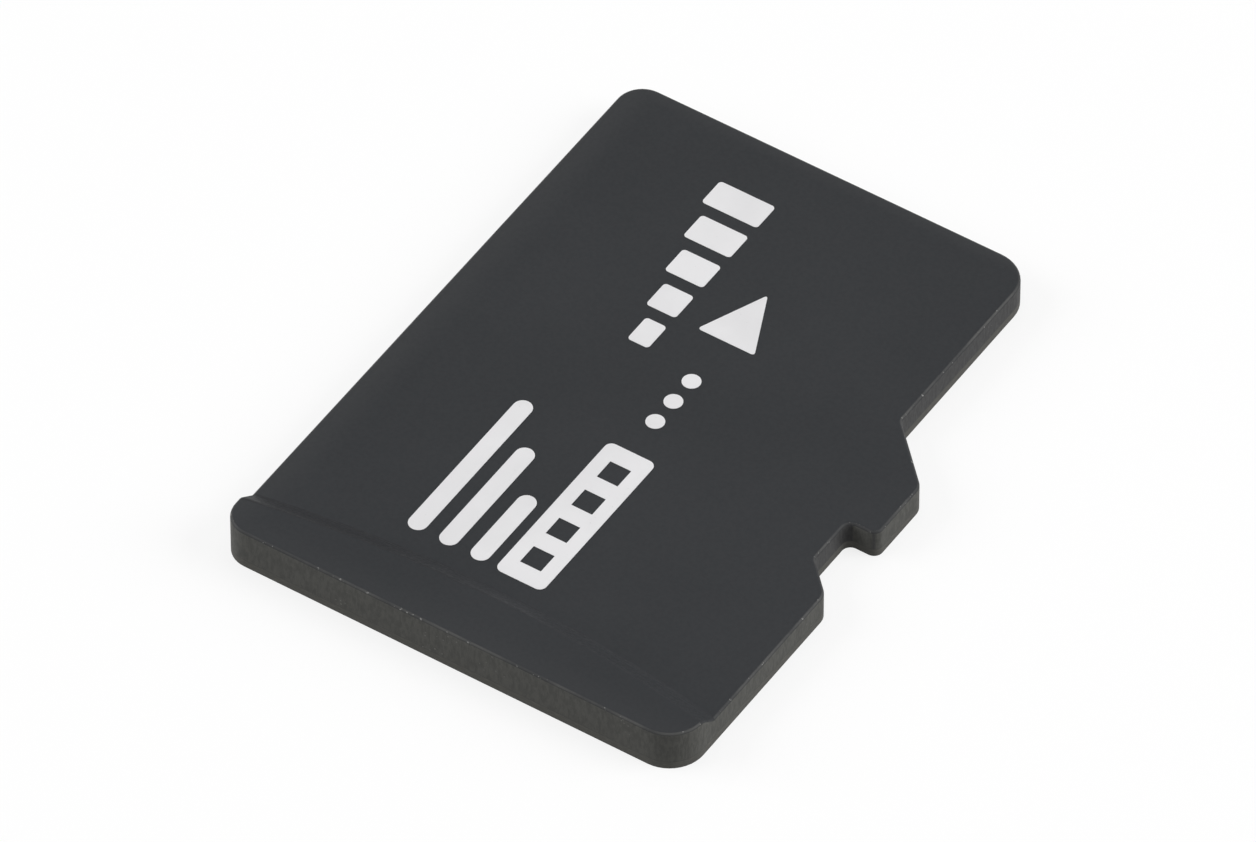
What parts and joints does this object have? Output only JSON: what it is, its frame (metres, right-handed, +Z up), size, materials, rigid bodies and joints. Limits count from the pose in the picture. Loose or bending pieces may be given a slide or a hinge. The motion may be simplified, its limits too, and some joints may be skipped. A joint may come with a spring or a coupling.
{
  "type": "memory card",
  "caption": "Thin black memory card with a stepped side, a latch notch, a raised finger ridge along its back edge and gold contacts underneath.",
  "frame": {"origin": "middle of the card's underside, at the bottom of its bounding box", "axes": "+Y the way the card goes into its socket, towards the contact end; +X towards the side with the latch notch; +Z up, out of the label face"},
  "size_m": [0.011, 0.015, 0.001],
  "materials": {
    "moulded_epoxy": "fine matt moulding on the label face, rough saw-cut sides",
    "board_laminate": "black coated laminate",
    "gold_contact": "gold plate with fine wipe marks",
    "silicon_chip": "polished silicon",
    "adhesive_film": "cured adhesive film",
    "capacitor_ceramic": "fired ceramic with tinned ends",
    "gold_wire": "drawn gold wire",
    "white_ink": "screen-printed ink on the label face"
  },
  "bodies": {
    "root": {"moulded_body": "moulded_epoxy", "substrate_board": "board_laminate", "contact_1_data_2": "gold_contact", "contact_2_data_3": "gold_contact", "contact_3_command": "gold_contact", "contact_4_supply": "gold_contact", "contact_5_clock": "gold_contact", "contact_6_ground": "gold_contact", "contact_7_data_0": "gold_contact", "contact_8_data_1": "gold_contact", "memory_die_1": "silicon_chip", "memory_die_2": "silicon_chip", "memory_die_3": "silicon_chip", "memory_die_4": "silicon_chip", "controller_die": "silicon_chip", "memory_film_1": "adhesive_film", "memory_film_2": "adhesive_film", "memory_film_3": "adhesive_film", "memory_film_4": "adhesive_film", "controller_film": "adhesive_film", "capacitor_1": "capacitor_ceramic", "capacitor_2": "capacitor_ceramic", "capacitor_3": "capacitor_ceramic", "memory_bond_wires": "gold_wire", "controller_bond_wires": "gold_wire"}
  },
  "joints": []
}
